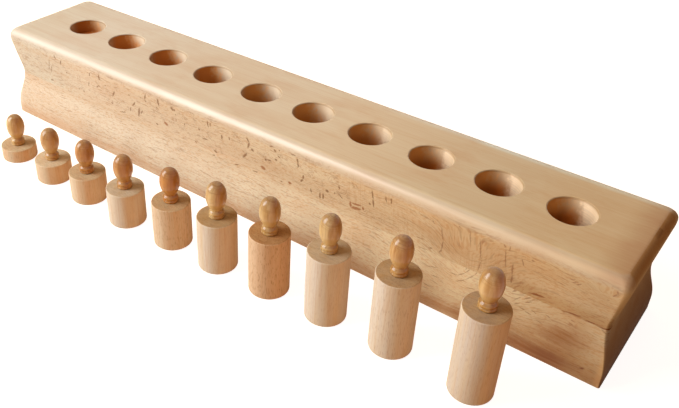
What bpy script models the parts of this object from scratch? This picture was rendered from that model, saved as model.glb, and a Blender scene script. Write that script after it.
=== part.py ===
"""Knobbed cylinder block: a beech block with ten sockets, and ten loose cylinders that fit them.

Metres, +Z up. The origin is the middle of the block's underside. +X runs along the block towards
its deepest socket, and +Y points to the back. The cylinders stand in front of the block, on the
same table, from the shortest to the tallest.
"""

import math

import bmesh
import bpy

# Loose cylinders
CYLINDER_DIAMETER = 0.0249
SHORTEST_CYLINDER = 0.0100
HEIGHT_STEP = 0.0052
CYLINDER_EDGE = 0.0006

# Sockets, each as deep as its cylinder is tall
SOCKET_COUNT = 10
SOCKET_CLEARANCE = 0.0009
SOCKET_CHAMFER = 0.0009
CUT_OVERRUN = 0.0020

# Wood round the sockets, measured at the waist, and under the deepest one
WALL_BETWEEN_SOCKETS = 0.0163
SIDE_WALL = 0.02285
END_WALL = 0.02795
FLOOR_UNDER_DEEPEST = 0.0154

# Block section, the same moulding along all four sides
WAIST_DEPTH = 0.0048
WAIST_HEIGHT = 0.0356
BULGE_HEIGHT = 0.0080
TOP_ROUND = 0.0062
SLOPE_BLEND = 0.0050
FOOT_ROUND = 0.0005
WAIST_CORNER = 0.0024
LIP_CORNER = 0.0046

# The two boards are glued just under the waist
GLUE_HEIGHT = 0.0352
GLUE_LINE = 0.0002

# Turned knobs, as a stack of heights above the cylinder's top
COLLAR_DIAMETER = 0.0097
COLLAR_EDGE = 0.0004
COLLAR_HEIGHT = 0.0017
GROOVE_DEPTH = 0.0004
BEAD_DIAMETER = 0.0097
BEAD_RISE = 0.0011
BEAD_FALL = 0.00225
NECK_DIAMETER = 0.0072
HEAD_DIAMETER = 0.0127
HEAD_SWELL_HEIGHT = 0.0091
HEAD_CROWN_HEIGHT = 0.00945

# The tenon under each collar, glued into its cylinder
TENON_DIAMETER = 0.0056
WOOD_UNDER_TENON = 0.0037
GLUE_GAP = 0.0003

# Where the cylinders stand
STANDING_GAP = 0.03335
# how far each one stands to the side of its socket, as shares of the pitch
SIDESTEP_SHARES = (0.212, 0.207, 0.098, 0.026, -0.051, -0.165, -0.260, -0.333, -0.337, -0.179)
# how far each one stands behind the row's middle line, as shares of its diameter
STAND_BACK_SHARES = (0.088, -0.012, -0.048, -0.128, -0.036, -0.020, 0.060, 0.150, 0.220, 0.172)

# Shape of the knob's curves, as the powers that bend them
BEAD_SHARE = 1.35
SWELL_SHARE = 0.58
CROWN_SHARE = 0.89

# Fineness of the curves
CORNER_STEPS = 4
FOOT_RINGS = 2
LOWER_RINGS = 9
UPPER_RINGS = 7
ROUND_RINGS = 5
SOCKET_SIDES = 32
CYLINDER_SIDES = 32
KNOB_SIDES = 18
BEAD_RINGS = 3
HEAD_RINGS = 5
SHARP_ANGLE = math.radians(32)

# Derived sizes
TALLEST_CYLINDER = SHORTEST_CYLINDER + (SOCKET_COUNT - 1) * HEIGHT_STEP
SOCKET_RADIUS = CYLINDER_DIAMETER / 2 + SOCKET_CLEARANCE
SOCKET_PITCH = 2 * SOCKET_RADIUS + WALL_BETWEEN_SOCKETS
END_MARGIN = SOCKET_RADIUS + END_WALL + WAIST_DEPTH
BLOCK_LENGTH = (SOCKET_COUNT - 1) * SOCKET_PITCH + 2 * END_MARGIN
BLOCK_WIDTH = 2 * (SOCKET_RADIUS + SIDE_WALL + WAIST_DEPTH)
BLOCK_HEIGHT = TALLEST_CYLINDER + FLOOR_UNDER_DEEPEST
LIP_HEIGHT = BLOCK_HEIGHT - TOP_ROUND
TENON_LENGTH = SHORTEST_CYLINDER - WOOD_UNDER_TENON - GLUE_GAP

WOODS = {
    "board_beech": ((0.72, 0.49, 0.29), 0.34),
    "lower_board_beech": ((0.70, 0.45, 0.25), 0.36),
    "plain_beech": ((0.80, 0.60, 0.42), 0.62),
    "knob_beech": ((0.62, 0.34, 0.13), 0.22),
}


def clear_scene():
    for thing in list(bpy.data.objects):
        bpy.data.objects.remove(thing, do_unlink=True)


def make_wood(name):
    colour, roughness = WOODS[name]
    wood = bpy.data.materials.new(name)
    wood.use_nodes = True
    shader = wood.node_tree.nodes["Principled BSDF"]
    shader.inputs["Base Color"].default_value = (*colour, 1.0)
    shader.inputs["Roughness"].default_value = roughness
    shader.inputs["Metallic"].default_value = 0.0
    wood.diffuse_color = (*colour, 1.0)
    return wood


def add_object(name, bm, wood=None, location=(0, 0, 0)):
    """Turn the finished bmesh into a named object, with round faces smooth and real edges sharp."""
    bmesh.ops.recalc_face_normals(bm, faces=bm.faces)
    mesh = bpy.data.meshes.new(name)
    bm.to_mesh(mesh)
    bm.free()
    mesh.shade_smooth()
    mesh.set_sharp_from_angle(angle=SHARP_ANGLE)
    thing = bpy.data.objects.new(name, mesh)
    thing.location = location
    bpy.context.scene.collection.objects.link(thing)
    if wood:
        mesh.materials.append(wood)
    return thing


def socket_x(index):
    """Distance of a socket from the block's middle, along the block."""
    return (index - (SOCKET_COUNT - 1) / 2) * SOCKET_PITCH


def cylinder_height(index):
    return SHORTEST_CYLINDER + index * HEIGHT_STEP


def standing_place(index):
    """Where a loose cylinder stands in front of the block."""
    across = socket_x(index) + SIDESTEP_SHARES[index] * SOCKET_PITCH
    line = -(BLOCK_WIDTH / 2 + STANDING_GAP + CYLINDER_DIAMETER / 2)
    return across, line + STAND_BACK_SHARES[index] * CYLINDER_DIAMETER, 0


def slope_gain(climb):
    """How far the straight slope above the waist has come out again. Both of its ends are eased."""
    run = LIP_HEIGHT - WAIST_HEIGHT
    blend = min(SLOPE_BLEND, run / 2)
    slope = WAIST_DEPTH / (run - blend)
    if climb < blend:
        return slope * climb**2 / (2 * blend)
    if climb > run - blend:
        return WAIST_DEPTH - slope * (run - climb) ** 2 / (2 * blend)
    return slope * (climb - blend / 2)


def moulding_inset(height):
    """How far the side lies inside the block's full plan at a height."""
    if height >= LIP_HEIGHT:
        rise = (height - LIP_HEIGHT) / TOP_ROUND
        return TOP_ROUND * (1 - math.sqrt(max(0, 1 - rise * rise)))
    if height >= WAIST_HEIGHT:
        return WAIST_DEPTH - slope_gain(height - WAIST_HEIGHT)
    if height >= BULGE_HEIGHT:
        turn = math.pi * (height - BULGE_HEIGHT) / (WAIST_HEIGHT - BULGE_HEIGHT)
        return WAIST_DEPTH * (1 - math.cos(turn)) / 2
    if height < FOOT_ROUND:
        rise = 1 - height / FOOT_ROUND
        return FOOT_ROUND * (1 - math.sqrt(max(0, 1 - rise * rise)))
    return 0


def evenly(low, high, steps):
    """Heights from low to high, both ends included."""
    return [low + (high - low) * step / steps for step in range(steps + 1)]


def round_heights():
    """Heights up the quarter round along the top edge, at even angles."""
    turns = [math.pi / 2 * step / ROUND_RINGS for step in range(1, ROUND_RINGS + 1)]
    return [LIP_HEIGHT + TOP_ROUND * math.sin(turn) for turn in turns]


def lower_heights():
    return evenly(0, FOOT_ROUND, FOOT_RINGS) + evenly(BULGE_HEIGHT, GLUE_HEIGHT, LOWER_RINGS)


def upper_heights():
    start = GLUE_HEIGHT + GLUE_LINE
    return evenly(start, LIP_HEIGHT, UPPER_RINGS) + round_heights()


def corner_radius(height):
    """The upright corners are sharp up to the waist and grow rounder towards the lip."""
    climb = (height - WAIST_HEIGHT) / (LIP_HEIGHT - WAIST_HEIGHT)
    return WAIST_CORNER + (LIP_CORNER - WAIST_CORNER) * min(1, max(0, climb)) ** 2


def plan_outline(height):
    """The block's outline at one height: a rectangle with rounded corners, anticlockwise."""
    inset = moulding_inset(height)
    radius = corner_radius(height)
    half_length = BLOCK_LENGTH / 2 - inset
    half_width = BLOCK_WIDTH / 2 - inset
    points = []
    for quarter, (side_x, side_y) in enumerate(((1, 1), (-1, 1), (-1, -1), (1, -1))):
        centre_x = side_x * (half_length - radius)
        centre_y = side_y * (half_width - radius)
        for step in range(CORNER_STEPS + 1):
            turn = math.pi / 2 * (quarter + step / CORNER_STEPS)
            x = centre_x + radius * math.cos(turn)
            y = centre_y + radius * math.sin(turn)
            points.append((x, y, height))
    return points


def loft(outlines):
    """Skin a stack of outlines and close both ends."""
    bm = bmesh.new()
    rings = [[bm.verts.new(point) for point in outline] for outline in outlines]
    for low, high in zip(rings, rings[1:]):
        for index in range(len(low)):
            after = (index + 1) % len(low)
            bm.faces.new((low[index], low[after], high[after], high[index]))
    bm.faces.new(rings[0][::-1])
    bm.faces.new(rings[-1])
    return bm


def ring(bm, radius, height, sides, centre):
    """One ring of a turning, or a single point where it meets the axis."""
    if radius == 0:
        return [bm.verts.new((*centre, height))]
    verts = []
    for side in range(sides):
        angle = 2 * math.pi * side / sides
        x = centre[0] + radius * math.cos(angle)
        y = centre[1] + radius * math.sin(angle)
        verts.append(bm.verts.new((x, y, height)))
    return verts


def turn(bm, profile, sides, centre=(0, 0)):
    """Turn a profile of (radius, height) points round the vertical line through the centre."""
    rings = [ring(bm, radius, height, sides, centre) for radius, height in profile]
    for first, second in zip(rings, rings[1:]):
        for side in range(sides):
            after = (side + 1) % sides
            if len(first) == 1:
                bm.faces.new((first[0], second[after], second[side]))
            elif len(second) == 1:
                bm.faces.new((first[side], first[after], second[0]))
            else:
                bm.faces.new((first[side], first[after], second[after], second[side]))


def make_sockets():
    """All ten socket shapes in one cutter, each as deep as its cylinder is tall."""
    bm = bmesh.new()
    mouth = SOCKET_RADIUS + SOCKET_CHAMFER
    for index in range(SOCKET_COUNT):
        floor = BLOCK_HEIGHT - cylinder_height(index)
        profile = [
            (0, floor),
            (SOCKET_RADIUS, floor),
            (SOCKET_RADIUS, BLOCK_HEIGHT - SOCKET_CHAMFER),
            (mouth + CUT_OVERRUN, BLOCK_HEIGHT + CUT_OVERRUN),
            (0, BLOCK_HEIGHT + CUT_OVERRUN),
        ]
        turn(bm, profile, SOCKET_SIDES, (socket_x(index), 0))
    sockets = add_object("socket_cutter", bm)
    sockets.hide_render = True
    sockets.display_type = "WIRE"
    return sockets


def make_board(name, heights, wood, sockets):
    board = add_object(name, loft([plan_outline(height) for height in heights]), wood)
    cut = board.modifiers.new("sockets", "BOOLEAN")
    cut.operation = "DIFFERENCE"
    cut.solver = "EXACT"
    cut.object = sockets
    return board


def cylinder_profile(height):
    """Outside of a cylinder and the blind bore for its knob's tenon."""
    radius = CYLINDER_DIAMETER / 2
    bore = TENON_DIAMETER / 2 + GLUE_GAP
    floor = height - TENON_LENGTH - GLUE_GAP
    return [
        (0, 0),
        (radius - CYLINDER_EDGE, 0),
        (radius, CYLINDER_EDGE),
        (radius, height - CYLINDER_EDGE),
        (radius - CYLINDER_EDGE, height),
        (bore, height),
        (bore, floor),
        (0, floor),
    ]


def bead_points(groove_top):
    """The bead over the collar's groove: out to its widest ring, then down into the neck."""
    groove = COLLAR_DIAMETER / 2 - GROOVE_DEPTH
    neck = NECK_DIAMETER / 2
    bead = BEAD_DIAMETER / 2
    angle = math.pi / 4
    rise = (groove + (bead - groove) * math.sin(angle), groove_top + BEAD_RISE * (1 - math.cos(angle)))
    points = [rise, (bead, groove_top + BEAD_RISE)]
    for step in range(1, BEAD_RINGS + 1):
        part = step / BEAD_RINGS
        fall = (1 - math.cos(math.pi * part**BEAD_SHARE)) / 2
        points.append((bead - (bead - neck) * fall, groove_top + BEAD_RISE + BEAD_FALL * part))
    return points


def head_points(neck_top):
    """The egg-shaped head, from the neck out to its widest ring and over the crown."""
    neck = NECK_DIAMETER / 2
    head = HEAD_DIAMETER / 2
    points = []
    for step in range(1, HEAD_RINGS + 1):
        part = step / HEAD_RINGS
        swell = (1 - math.cos(math.pi * part**SWELL_SHARE)) / 2
        points.append((neck + (head - neck) * swell, neck_top + HEAD_SWELL_HEIGHT * part))
    widest = neck_top + HEAD_SWELL_HEIGHT
    for step in range(1, HEAD_RINGS):
        angle = math.pi / 2 * step / HEAD_RINGS
        up = math.sin(angle) ** CROWN_SHARE
        points.append((head * math.cos(angle) ** CROWN_SHARE, widest + HEAD_CROWN_HEIGHT * up))
    return points + [(0, widest + HEAD_CROWN_HEIGHT)]


def knob_profile():
    """Tenon, collar, bead, neck and head, from the bottom up, above the cylinder's top."""
    collar = COLLAR_DIAMETER / 2
    groove_top = GLUE_GAP + COLLAR_HEIGHT
    points = [
        (0, -TENON_LENGTH),
        (TENON_DIAMETER / 2, -TENON_LENGTH),
        (TENON_DIAMETER / 2, GLUE_GAP),
        (collar - COLLAR_EDGE, GLUE_GAP),
        (collar, GLUE_GAP + COLLAR_EDGE),
        (collar, groove_top - GROOVE_DEPTH),
        (collar - GROOVE_DEPTH, groove_top),
    ]
    return points + bead_points(groove_top) + head_points(groove_top + BEAD_RISE + BEAD_FALL)


def make_turning(name, profile, sides, wood, parent):
    bm = bmesh.new()
    turn(bm, profile, sides)
    piece = add_object(name, bm, wood)
    piece.parent = parent
    return piece


def make_loose_cylinder(index, wood, knob_wood):
    """One cylinder and its knob, carried by an empty that stands on the table under them."""
    stand = bpy.data.objects.new(f"stand_{index + 1:02d}", None)
    stand.location = standing_place(index)
    bpy.context.scene.collection.objects.link(stand)
    height = cylinder_height(index)
    make_turning(f"cylinder_{index + 1:02d}", cylinder_profile(height), CYLINDER_SIDES, wood, stand)
    knob = make_turning(f"knob_{index + 1:02d}", knob_profile(), KNOB_SIDES, knob_wood, stand)
    knob.location = (0, 0, height)


def main():
    clear_scene()
    woods = {name: make_wood(name) for name in WOODS}
    sockets = make_sockets()
    make_board("block_lower_board", lower_heights(), woods["lower_board_beech"], sockets)
    make_board("block_upper_board", upper_heights(), woods["board_beech"], sockets)
    for index in range(SOCKET_COUNT):
        make_loose_cylinder(index, woods["plain_beech"], woods["knob_beech"])


main()
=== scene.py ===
"""Knobbed cylinder block: fine turned and moulded pieces, beech materials, studio and camera."""

import math

import bmesh
import bpy
from mathutils import Matrix, Vector


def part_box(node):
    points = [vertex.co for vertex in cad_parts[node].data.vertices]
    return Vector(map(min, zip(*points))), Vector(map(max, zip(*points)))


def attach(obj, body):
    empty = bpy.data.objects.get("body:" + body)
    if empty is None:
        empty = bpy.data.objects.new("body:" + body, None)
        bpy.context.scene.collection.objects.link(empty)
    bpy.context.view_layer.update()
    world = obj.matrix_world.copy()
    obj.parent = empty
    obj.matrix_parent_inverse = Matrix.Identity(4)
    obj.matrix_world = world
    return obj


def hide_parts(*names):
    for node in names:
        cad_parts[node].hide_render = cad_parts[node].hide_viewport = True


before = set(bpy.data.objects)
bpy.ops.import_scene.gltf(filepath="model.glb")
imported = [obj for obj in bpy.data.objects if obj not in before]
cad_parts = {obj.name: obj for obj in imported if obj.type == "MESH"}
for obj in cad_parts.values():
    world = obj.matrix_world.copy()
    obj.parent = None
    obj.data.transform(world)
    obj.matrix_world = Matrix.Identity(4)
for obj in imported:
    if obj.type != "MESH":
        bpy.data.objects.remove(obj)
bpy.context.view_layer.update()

COUNT = 10
BLOCK = "block"
QUARTER = math.pi / 2

# The block's moulding, as in the CAD model
HALF_LENGTH = 0.2396
HALF_WIDTH = 0.0410
TOP = 0.0722
TOP_ROUND = 0.0062
LIP = TOP - TOP_ROUND
WAIST = 0.0356
WAIST_DEPTH = 0.0048
SLOPE_BLEND = 0.0050
BULGE = 0.0080
FOOT_ROUND = 0.0005
GLUE = 0.0352
GLUE_LINE = 0.00012
LIP_CORNER = 0.0046
WAIST_CORNER = 0.0024
FOOT_CORNER = 0.0012

# Sockets
PITCH = 0.0430
MIDDLE_PLACE = (COUNT - 1) / 2
SOCKET_RADIUS = 0.01335
SOCKET_CHAMFER = 0.0009
SOCKET_FLOOR_EDGE = 0.0004
SOCKETS_END = MIDDLE_PLACE * PITCH + 0.0160
CUT_OVERRUN = 0.0030

# Which faces of a cut board lie in a socket or on an end: how far from the middle and under the top,
# and how far their normals may point down or must point outwards
SOCKET_REACH = 0.0150
MOUTH_DEPTH = 0.0003
LEAST_UP_IN_SOCKET = -0.5
LEAST_OUT_ON_END = 0.30

# Turned pieces. The inner ring keeps the flat top evenly shaded.
CYLINDER_RADIUS = 0.01245
CYLINDER_EDGE = 0.0007
INNER_RING = 0.6 * CYLINDER_RADIUS

# Knob, as radii and as heights above the cylinder's top
KNOB_GAP = 0.0003
COLLAR = 0.00485
COLLAR_EDGE = 0.0004
GROOVE = 0.0045
GROOVE_LOW = 0.0011
GROOVE_TOP = 0.0020
BEAD = 0.00485
BEAD_MIDDLE = 0.0031
NECK = 0.0036
NECK_HEIGHT = 0.00535
HEAD = 0.00635
HEAD_MIDDLE = 0.01445
KNOB_TOP = 0.0239
BEAD_POWER = 1.35
SWELL_POWER = 0.58
SWELL_SPACING = 1.5
CROWN_POWER = 0.89

# How many steps and sides the curves are drawn with
CORNER_STEPS = 10
FOOT_STEPS = 3
WAVE_STEPS = 26
ROUND_STEPS = 12
EDGE_STEPS = 3
COLLAR_STEPS = 4
GROOVE_STEPS = 6
BEAD_STEPS = 6
BEAD_FALL_STEPS = 10
SWELL_STEPS = 20
CROWN_STEPS = 18
SOCKET_SIDES = 72
CYLINDER_SIDES = 96
KNOB_SIDES = 72

# An edge that turns by more degrees than this stays sharp
SHARP = 38
KNOB_SHARP = 60


# Meshes


def evenly(low, high, steps):
    return [low + (high - low) * step / steps for step in range(steps + 1)]


def wave(part):
    """A soft rise from 0 to 1, level at both ends."""
    return (1 - math.cos(math.pi * part)) / 2


def object_of(name, bm):
    """A bmesh as an object in the scene, with its faces turned outwards."""
    bmesh.ops.recalc_face_normals(bm, faces=bm.faces)
    mesh = bpy.data.meshes.new(name)
    bm.to_mesh(mesh)
    bm.free()
    holder = bpy.data.objects.new(name, mesh)
    bpy.context.scene.collection.objects.link(holder)
    return holder


def add_piece(name, bm, body, nodes, sharp=SHARP):
    """Finished bmesh to a shaded piece that rides on its body and stands for its CAD nodes."""
    piece = object_of(name, bm)
    shade(piece, sharp)
    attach(piece, body)
    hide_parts(*nodes)
    return piece


def shade(piece, sharp):
    piece.data.shade_smooth()
    piece.data.set_sharp_from_angle(angle=math.radians(sharp))
    even = piece.modifiers.new("even shading", "WEIGHTED_NORMAL")
    even.keep_sharp = True


def slope_gain(climb):
    """How far the side has come out again, at a climb above the waist."""
    run = LIP - WAIST
    slope = WAIST_DEPTH / (run - SLOPE_BLEND)
    if climb < SLOPE_BLEND:
        return slope * climb**2 / (2 * SLOPE_BLEND)
    if climb > run - SLOPE_BLEND:
        return WAIST_DEPTH - slope * (run - climb) ** 2 / (2 * SLOPE_BLEND)
    return slope * (climb - SLOPE_BLEND / 2)


def round_inset(rise, radius):
    """How far a rounding lies inside its corner, at a share of its height."""
    return radius * (1 - math.sqrt(max(0, 1 - rise * rise)))


def moulding_inset(height):
    """How far the side lies inside the block's full plan at a height."""
    if height >= LIP:
        return round_inset((height - LIP) / TOP_ROUND, TOP_ROUND)
    if height >= WAIST:
        return WAIST_DEPTH - slope_gain(height - WAIST)
    if height >= BULGE:
        return WAIST_DEPTH * wave((height - BULGE) / (WAIST - BULGE))
    if height < FOOT_ROUND:
        return round_inset(1 - height / FOOT_ROUND, FOOT_ROUND)
    return 0


def corner_radius(height):
    """The plan corners are rounder at the lip than at the waist and below it."""
    if height < WAIST:
        return FOOT_CORNER + (WAIST_CORNER - FOOT_CORNER) * (height / WAIST) ** 2
    share = min(1, (height - WAIST) / (LIP - WAIST))
    return WAIST_CORNER + (LIP_CORNER - WAIST_CORNER) * share**2


def plan_outline(height):
    inset = moulding_inset(height)
    radius = corner_radius(height)
    points = []
    for quarter, (side_x, side_y) in enumerate(((1, 1), (-1, 1), (-1, -1), (1, -1))):
        centre_x = side_x * (HALF_LENGTH - inset - radius)
        centre_y = side_y * (HALF_WIDTH - inset - radius)
        for turned in evenly(0, QUARTER, CORNER_STEPS):
            angle = QUARTER * quarter + turned
            place = (centre_x + radius * math.cos(angle), centre_y + radius * math.sin(angle), height)
            points.append(place)
    return points


def loft(outlines):
    bm = bmesh.new()
    rings = [[bm.verts.new(point) for point in outline] for outline in outlines]
    for low, high in zip(rings, rings[1:]):
        for index in range(len(low)):
            after = (index + 1) % len(low)
            bm.faces.new((low[index], low[after], high[after], high[index]))
    bm.faces.new(rings[0][::-1])
    bm.faces.new(rings[-1])
    return bm


def ring(bm, radius, height, sides, centre):
    """A ring of points round the upright line through the centre, or the one point on it."""
    if radius == 0:
        return [bm.verts.new((*centre, height))]
    verts = []
    for side in range(sides):
        angle = 2 * math.pi * side / sides
        place = (centre[0] + radius * math.cos(angle), centre[1] + radius * math.sin(angle), height)
        verts.append(bm.verts.new(place))
    return verts


def turn(bm, profile, sides, centre):
    """Turn a profile of (radius, height) points round the upright line through the centre."""
    rings = [ring(bm, radius, height, sides, centre) for radius, height in profile]
    for first, second in zip(rings, rings[1:]):
        for side in range(sides):
            after = (side + 1) % sides
            if len(first) == 1:
                bm.faces.new((first[0], second[after], second[side]))
            elif len(second) == 1:
                bm.faces.new((first[side], first[after], second[0]))
            else:
                bm.faces.new((first[side], first[after], second[after], second[side]))


def socket_profile(depth):
    """One socket's cutter, from its floor up past the chamfer at its mouth."""
    floor = TOP - depth
    profile = [(0, floor), (SOCKET_RADIUS - SOCKET_FLOOR_EDGE, floor)]
    profile.append((SOCKET_RADIUS, floor + SOCKET_FLOOR_EDGE))
    for angle in evenly(0, QUARTER, EDGE_STEPS):
        out = SOCKET_CHAMFER * (1 - math.cos(angle))
        down = SOCKET_CHAMFER * (1 - math.sin(angle))
        profile.append((SOCKET_RADIUS + out, TOP - down))
    return profile + [(SOCKET_RADIUS + SOCKET_CHAMFER, TOP + CUT_OVERRUN), (0, TOP + CUT_OVERRUN)]


def socket_cutter():
    """All ten sockets as one cutter. Each is as deep as its cylinder is tall."""
    bm = bmesh.new()
    for index in range(COUNT):
        low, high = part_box(f"cylinder_{index + 1:02d}")
        turn(bm, socket_profile(high.z - low.z), SOCKET_SIDES, ((index - MIDDLE_PLACE) * PITCH, 0))
    return object_of("sockets", bm)


def is_matt(face):
    """Whether a face of the block lies on an end or in a socket, where the lacquer has soaked in."""
    on_end = abs(face.normal.x) > LEAST_OUT_ON_END and abs(face.center.x) > SOCKETS_END
    in_row = abs(face.center.y) < SOCKET_REACH and face.center.z < TOP - MOUTH_DEPTH
    return on_end or (in_row and face.normal.z > LEAST_UP_IN_SOCKET)


def cut_board(name, heights, cutter, materials):
    """Loft a board, cut the sockets out, and give its ends and the sockets the second material."""
    bm = loft([plan_outline(height) for height in heights])
    piece = add_piece(name, bm, BLOCK, [name.replace("fine_", "block_")])
    piece.modifiers.clear()
    cut = piece.modifiers.new("cut", "BOOLEAN")
    cut.object = cutter
    cut.solver = "EXACT"
    graph = bpy.context.evaluated_depsgraph_get()
    piece.data = bpy.data.meshes.new_from_object(piece.evaluated_get(graph))
    piece.modifiers.clear()
    shade(piece, SHARP)
    piece.data.materials.clear()
    for material in materials:
        piece.data.materials.append(material)
    for face in piece.data.polygons:
        face.material_index = int(is_matt(face))


def lower_heights():
    return evenly(0, FOOT_ROUND, FOOT_STEPS) + evenly(BULGE, GLUE - GLUE_LINE / 2, WAVE_STEPS)


def upper_heights():
    slope = evenly(GLUE + GLUE_LINE / 2, LIP, WAVE_STEPS)
    return slope + [LIP + TOP_ROUND * math.sin(angle) for angle in evenly(0, QUARTER, ROUND_STEPS)[1:]]


def column(name):
    """The middle of a CAD node's box in plan, its floor and its top."""
    low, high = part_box(name)
    return ((low.x + high.x) / 2, (low.y + high.y) / 2), low.z, high.z


def rounded(height, inward):
    """Points round an outer edge of a cylinder. inward is 1 at its top and -1 at its bottom."""
    points = []
    for angle in evenly(0, QUARTER, EDGE_STEPS)[::inward]:
        out = CYLINDER_RADIUS - CYLINDER_EDGE * (1 - math.cos(angle))
        points.append((out, height - inward * CYLINDER_EDGE * (1 - math.sin(angle))))
    return points


def make_cylinder(number, material):
    name = f"cylinder_{number}"
    centre, floor, top = column(name)
    profile = [(0, floor)] + rounded(floor, -1) + rounded(top, 1) + [(INNER_RING, top), (0, top)]
    bm = bmesh.new()
    turn(bm, profile, CYLINDER_SIDES, centre)
    piece = add_piece("turned_" + name, bm, f"loose_cylinder_{number}", [name])
    piece.data.materials.append(material)


def knob_profile():
    """Collar, groove, bead, neck and egg-shaped head, as (radius, height) above the cylinder's top."""
    points = [(0, KNOB_GAP)]
    for angle in evenly(0, QUARTER, COLLAR_STEPS):
        out = COLLAR - COLLAR_EDGE * (1 - math.sin(angle))
        points.append((out, KNOB_GAP + COLLAR_EDGE * (1 - math.cos(angle))))
    for part in evenly(0, 1, GROOVE_STEPS):
        out = COLLAR - (COLLAR - GROOVE) * wave(part)
        points.append((out, GROOVE_LOW + (GROOVE_TOP - GROOVE_LOW) * part))
    for angle in evenly(0, QUARTER, BEAD_STEPS)[1:]:
        rise = (BEAD_MIDDLE - GROOVE_TOP) * (1 - math.cos(angle))
        points.append((GROOVE + (BEAD - GROOVE) * math.sin(angle), GROOVE_TOP + rise))
    for part in evenly(0, 1, BEAD_FALL_STEPS)[1:]:
        out = BEAD - (BEAD - NECK) * wave(part**BEAD_POWER)
        points.append((out, BEAD_MIDDLE + (NECK_HEIGHT - BEAD_MIDDLE) * part))
    for step in evenly(0, 1, SWELL_STEPS)[1:]:
        part = step**SWELL_SPACING
        out = NECK + (HEAD - NECK) * wave(part**SWELL_POWER)
        points.append((out, NECK_HEIGHT + (HEAD_MIDDLE - NECK_HEIGHT) * part))
    for angle in evenly(0, QUARTER, CROWN_STEPS)[1:-1]:
        up = (KNOB_TOP - HEAD_MIDDLE) * math.sin(angle) ** CROWN_POWER
        points.append((HEAD * math.cos(angle) ** CROWN_POWER, HEAD_MIDDLE + up))
    return points + [(0, KNOB_TOP)]


def make_knob(number, tone):
    name = f"knob_{number}"
    centre, _, top = column(name)
    base = top - KNOB_TOP
    bm = bmesh.new()
    turn(bm, [(radius, base + height) for radius, height in knob_profile()], KNOB_SIDES, centre)
    piece = add_piece("turned_" + name, bm, f"loose_cylinder_{number}", [name], KNOB_SHARP)
    piece.data.materials.append(knob_beech(f"lacquered_{name}", tone, centre, top))


# Node helpers


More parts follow.
